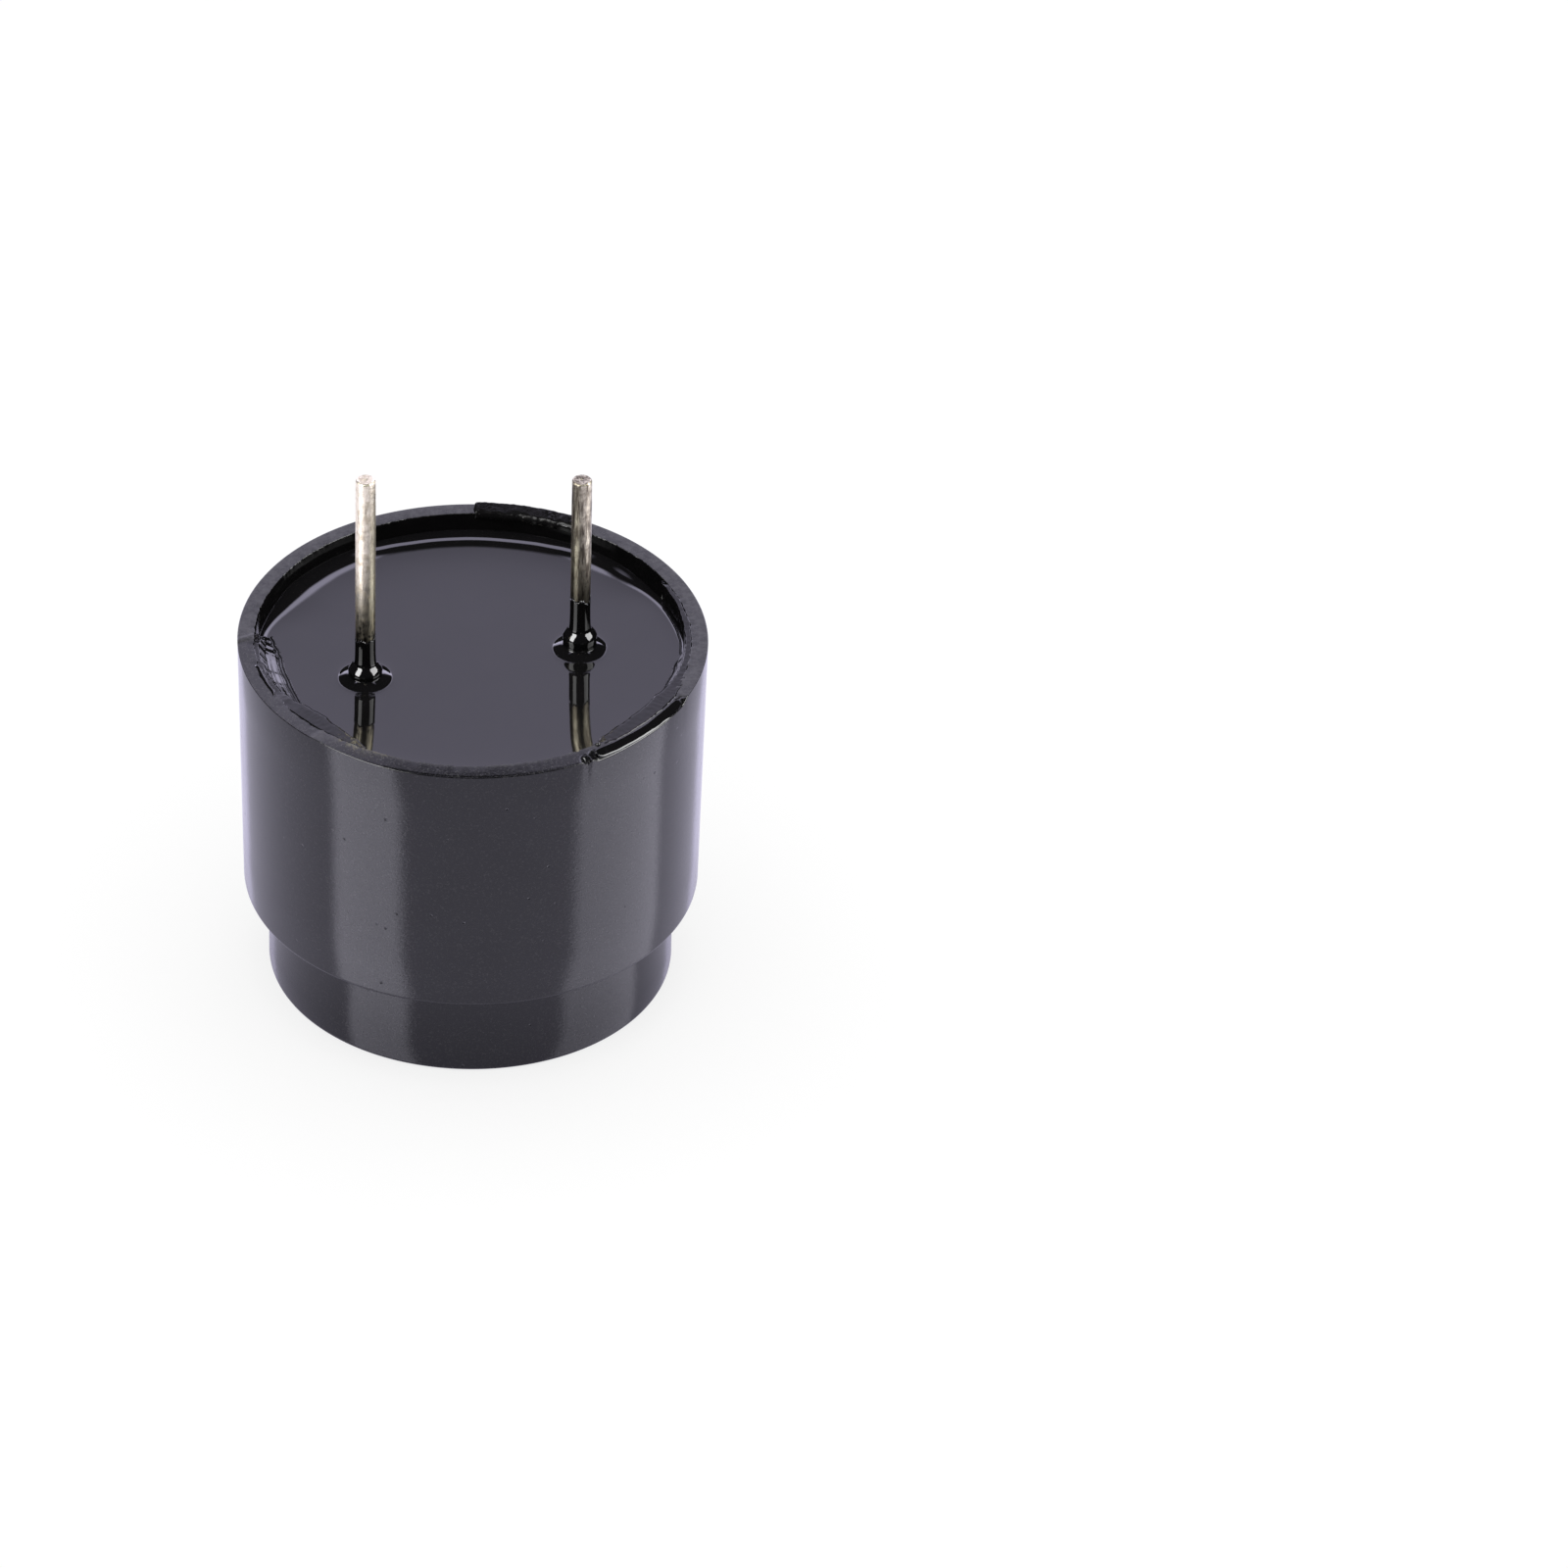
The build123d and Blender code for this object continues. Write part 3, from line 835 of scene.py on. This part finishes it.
def make_mark(material):
    """Printed ring with a plus in it, on the front face."""
    thick = MARK_HEIGHT + 0.003
    inside = MARK_RADIUS - 2 * MARK_LINE
    points, faces = [], []

    def plate(edges, closed):
        """Thin plate along pairs of points on its two edges."""
        first = len(points)
        for edge in edges:
            for z in (0.0, thick):
                points.extend((MARK_X + x, y, z) for x, y in edge)
        count = len(edges)
        for k in range(count if closed else count - 1):
            a = first + 4 * k
            b = first + 4 * ((k + 1) % count)
            faces.extend([(a, a + 1, b + 1, b), (a + 2, b + 2, b + 3, a + 3),
                          (a, b, b + 2, a + 2), (a + 1, a + 3, b + 3, b + 1)])
        if not closed:
            a, b = first, first + 4 * (count - 1)
            faces.extend([(a, a + 2, a + 3, a + 1), (b, b + 1, b + 3, b + 2)])

    plate([(polar(MARK_RADIUS, a), polar(inside, a)) for a in range(0, 360, 3)], True)
    for turn, start in ((0, -inside), (90, MARK_LINE), (270, MARK_LINE)):
        edges = []
        out = Vector(polar(1, MARK_TURN + turn))
        aside = Vector(polar(MARK_LINE, MARK_TURN + turn + 90))
        for k in range(13):
            middle = out * (start + (inside - start) * k / 12)
            edges.append((tuple(middle + aside), tuple(middle - aside)))
        plate(edges, False)
    mesh_piece("polarity_mark", points, faces, [material])


# Stage

def make_floor():
    """Pale floor that keeps the part's soft shadow.

    In reflections it has the sheen of a white table, and a painted shade dims it close to the part.
    """
    material = bpy.data.materials.new("floor")
    material.use_nodes = True
    graph = Graph(material.node_tree)
    graph.tree.nodes.remove(graph.tree.nodes["Principled BSDF"])
    seen, _, mirrored = graph.sight()
    far = graph.vector("LENGTH", graph.node("ShaderNodeTexCoord").outputs["Object"])
    # Painted shade: seen in reflections, the floor's glow and sheen are dimmed close to the part.
    near, away = FLOOR_PAINTED_SHADE_SPAN
    painted_shade = graph.calc("MULTIPLY", graph.span(far, near * MM, away * MM, FLOOR_PAINTED_SHADE, 0.0), mirrored)
    kept = graph.calc("SUBTRACT", 1.0, painted_shade)
    diffuse = graph.node("ShaderNodeBsdfDiffuse")
    diffuse.inputs["Color"].default_value = (0.2, 0.2, 0.2, 1)
    glow = graph.node("ShaderNodeEmission")
    graph.link(graph.blend(mirrored, (1, 1, 1), REFLECTED_TINT), glow.inputs["Color"])
    strength = graph.calc("MULTIPLY", graph.calc("MULTIPLY", seen, FLOOR_GLOW), kept)
    graph.link(strength, glow.inputs["Strength"])
    pale = graph.node("ShaderNodeAddShader")
    graph.link(diffuse.outputs[0], pale.inputs[0])
    graph.link(glow.outputs[0], pale.inputs[1])
    sheen = graph.node("ShaderNodeBsdfGlossy")
    sheen.inputs["Color"].default_value = (1.0, 0.98, 1.12, 1)
    sheen.inputs["Roughness"].default_value = 0.1
    mix = graph.node("ShaderNodeMixShader")
    share = graph.calc("MULTIPLY", graph.calc("MULTIPLY", mirrored, FLOOR_SHEEN), kept)
    graph.link(share, mix.inputs[0])
    graph.link(pale.outputs[0], mix.inputs[1])
    graph.link(sheen.outputs[0], mix.inputs[2])
    graph.link(mix.outputs[0], graph.tree.nodes["Material Output"].inputs["Surface"])
    half = FLOOR_HALF * MM
    corners = [(-half, -half, 0), (half, -half, 0), (half, half, 0), (-half, half, 0)]
    mesh = bpy.data.meshes.new("floor")
    mesh.from_pydata(corners, [], [(0, 1, 2, 3)])
    mesh.materials.append(material)
    floor = bpy.data.objects.new("floor", mesh)
    floor.location.z = -0.02 * MM
    bpy.context.scene.collection.objects.link(floor)


def make_world():
    """White surroundings.

    Reflections see a white wall behind the part with brighter flanks, a light strip overhead, and dark
    between them.
    """
    world = bpy.data.worlds.new("studio")
    bpy.context.scene.world = world
    world.use_nodes = True
    graph = Graph(world.node_tree)
    toward = graph.node("ShaderNodeTexCoord").outputs["Generated"]
    up = graph.part_of(toward, "Z")
    heading = graph.vector("NORMALIZE", graph.vector("MULTIPLY", toward, (1, 1, 0)))
    aside = graph.calc("SUBTRACT", 1.0, graph.vector("DOT_PRODUCT", heading, BACK))
    low = graph.fade(up, *WALL_TOP)
    wall = graph.calc("MULTIPLY", low, graph.fade(aside, *WALL_SIDE))
    flanks = graph.calc("SUBTRACT", wall, graph.calc("MULTIPLY", low, graph.fade(aside, *FLANK_SIDE)))
    behind = graph.vector("DOT_PRODUCT", toward, BACK)
    strip = graph.calc("SUBTRACT", graph.fade(behind, *STRIP_FAR), graph.fade(behind, *STRIP_NEAR))
    overhead = graph.calc("MULTIPLY", strip, graph.calc("SUBTRACT", 1.0, graph.fade(up, *STRIP_LOW)))
    glow = graph.calc("ADD", wall, graph.calc("MULTIPLY", flanks, FLANK_GLOW))
    glow = graph.calc("ADD", glow, graph.calc("MULTIPLY", overhead, OVERHEAD_GLOW))
    glow = graph.calc("ADD", glow, DARK_GLOW)
    seen, straight, mirrored = graph.sight()
    background = graph.tree.nodes["Background"]
    graph.link(graph.pick(straight, graph.pick(seen, SOFT_GLOW, glow), 1.0), background.inputs["Strength"])
    graph.link(graph.blend(mirrored, (1, 1, 1), REFLECTED_TINT), background.inputs["Color"])


def lamp(name, azimuth, elevation, distance, size, radiance, reflected):
    """Rectangular lamp that faces the part, with its distance and its (width, height) in metres.

    It only shows in reflections where reflected is True, and otherwise it only lights what is matt.
    """
    width, height = size
    light = bpy.data.lights.new(name, "AREA")
    light.shape = "RECTANGLE"
    light.size = width
    light.size_y = height
    light.energy = radiance * math.pi * width * height
    target = Vector((0, 0, LAMP_AIM)) * MM
    across, rise = polar(1, elevation)
    back = Vector(turned(across, rise, azimuth))
    item = bpy.data.objects.new(name, light)
    item.location = target + back * distance
    item.rotation_mode = "QUATERNION"
    item.rotation_quaternion = back.to_track_quat("Z", "Y")
    item.visible_diffuse = not reflected
    item.visible_glossy = reflected
    bpy.context.scene.collection.objects.link(item)


def make_camera():
    """Camera that sees the part left of the middle, so it isn't aimed at it."""
    forward = CAMERA_FORWARD.normalized()
    right = CAMERA_RIGHT.normalized()
    up = right.cross(forward)
    cosine, sine = polar(1, CAMERA_ROLL)
    across = cosine * right + sine * up
    upward = cosine * up - sine * right
    camera = bpy.data.cameras.new("camera")
    camera.sensor_width = SENSOR_WIDTH
    camera.lens = FOCAL_PIXELS / PICTURE_PIXELS * SENSOR_WIDTH
    camera.clip_start = 0.01
    camera.clip_end = 10
    item = bpy.data.objects.new("camera", camera)
    turn = Matrix((across, upward, -forward)).transposed()
    item.matrix_world = Matrix.Translation(CAMERA_PLACE * MM) @ turn.to_4x4()
    bpy.context.scene.collection.objects.link(item)
    bpy.context.scene.camera = item


# Finishes of the solids that stay as they are, by material slot: colour, darker tone, roughness, metallic,
# scale and depth of the grain, and how the grain is stretched where it runs one way

CARRIED_FINISHES = {
    "brass_disc": ((0.80, 0.60, 0.26), (0.62, 0.44, 0.18), 0.3, 1.0, 1.0, 0.003, (9, 0.4, 1)),
    "piezo_ceramic": ((0.62, 0.58, 0.50), (0.52, 0.48, 0.41), 0.6, 0.0, 6.0, 0.01),
    "silver_layer": ((0.82, 0.81, 0.78), (0.66, 0.65, 0.62), 0.45, 1.0, 7.0, 0.006),
    "silicone": ((0.75, 0.75, 0.72), (0.66, 0.66, 0.64), 0.5, 0.0, 1.5, 0.03),
    "ring_plastic": ((0.05, 0.05, 0.05), (0.035, 0.035, 0.035), 0.5, 0.0, 8.0, 0.006),
    "board_laminate": ((0.07, 0.22, 0.09), (0.05, 0.17, 0.07), 0.35, 0.0, 4.0, 0.01, (1, 6, 1)),
    "package_plastic": ((0.03, 0.03, 0.032), (0.02, 0.02, 0.021), 0.55, 0.0, 14.0, 0.008),
    "resistor_body": ((0.04, 0.04, 0.05), (0.03, 0.03, 0.04), 0.3, 0.0, 9.0, 0.006),
    "capacitor_body": ((0.42, 0.30, 0.20), (0.34, 0.24, 0.16), 0.45, 0.0, 9.0, 0.006),
    "ferrite": ((0.07, 0.07, 0.07), (0.045, 0.045, 0.045), 0.6, 0.0, 9.0, 0.015),
    "copper_wire": ((0.62, 0.25, 0.10), (0.42, 0.15, 0.06), 0.3, 1.0, 1.0, 0.05, (0.3, 0.3, 14)),
    "solder": ((0.75, 0.75, 0.76), (0.58, 0.58, 0.58), 0.25, 1.0, 2.5, 0.02),
    "lead_insulation": ((0.55, 0.05, 0.05), (0.45, 0.04, 0.04), 0.4, 0.0, 5.0, 0.006),
}


def dress_carried_solids():
    """Gives each solid that is carried over from the frame the finish of its slot."""
    finishes = {slot: plain_finish(slot, *values) for slot, values in CARRIED_FINISHES.items()}
    for row in frame["record"]["subparts"]:
        if row["material_slot"] in finishes:
            mesh = frame["nodes"][row["node"]].data
            mesh.materials.clear()
            mesh.materials.append(finishes[row["material_slot"]])


make_camera()
make_floor()
make_world()
lamp("left_softbox", -158, 34, 0.5, (0.27, 0.34), radiance=14, reflected=True)
lamp("right_softbox", -23, 34, 0.5, (0.40, 0.34), radiance=9.5, reflected=True)
lamp("ceiling", 90, 88, 1.0, (1.2, 1.2), radiance=2.4, reflected=False)

# The resin is glossy in the pool, and duller where it lies on the bore, on the rim or in a climbing skin.
plastic = case_finish()
resin = resin_finish("potting_resin", roughness=0.03, ripple=0.003, specular=0.5)
film = resin_finish("resin_film", roughness=0.2, ripple=0.006, specular=0.03)
spilt = resin_finish("resin_skin", roughness=0.2, ripple=0.008, specular=0.10)
creep = resin_finish("resin_creep", roughness=0.10, ripple=0.006, specular=0.28)
tins = {
    "positive": tin_finish(
        "bright_tin", bright=(0.97, 0.90, 0.70), dull=(0.66, 0.59, 0.42), dark=(0.34, 0.29, 0.20),
        share=0.10, stain_top=23.2),
    # The right pin's tin is a darker copy of the same tin: its darker tones are painted shade, while its
    # streaks, mottle and resin stain are the tin's own.
    "negative": tin_finish(
        "tin_with_painted_shade", bright=(0.68, 0.63, 0.48), dull=(0.36, 0.32, 0.24), dark=(0.14, 0.12, 0.09),
        share=0.24, stain_top=23.0),
}
ink = plain_finish("polarity_ink", (0.34, 0.28, 0.20), (0.24, 0.20, 0.15), 0.5, 0.0, 12.0, 0.004)

make_case(plastic, film)
make_resin(resin)
rim_spill("back_spill", spilt, (45, 76), (10.58, 11.44), height=0.30, lean=0.26, seed=21, ends=(4.0, 0.8))
rim_spill("front_spill", resin, (-72, -41), (10.95, 11.49), height=0.015, lean=-0.22, seed=31, ends=(2, 3))
rim_spill("left_smear", resin, (179, 193), (10.62, 11.08), height=0.03, lean=-0.18, seed=41)
climb("left_climb", creep, LEFT_CLIMB, seed=71)
climb("right_climb", creep, RIGHT_CLIMB, seed=81)
spill_drop("spill_drop", resin, radius=10.74, angle=-69.7, z=18.98, size=0.13)
for pole in SIDES:
    make_pin(pole, tins[pole])
make_mark(ink)
dress_carried_solids()

bpy.context.scene.view_settings.view_transform = "Standard"
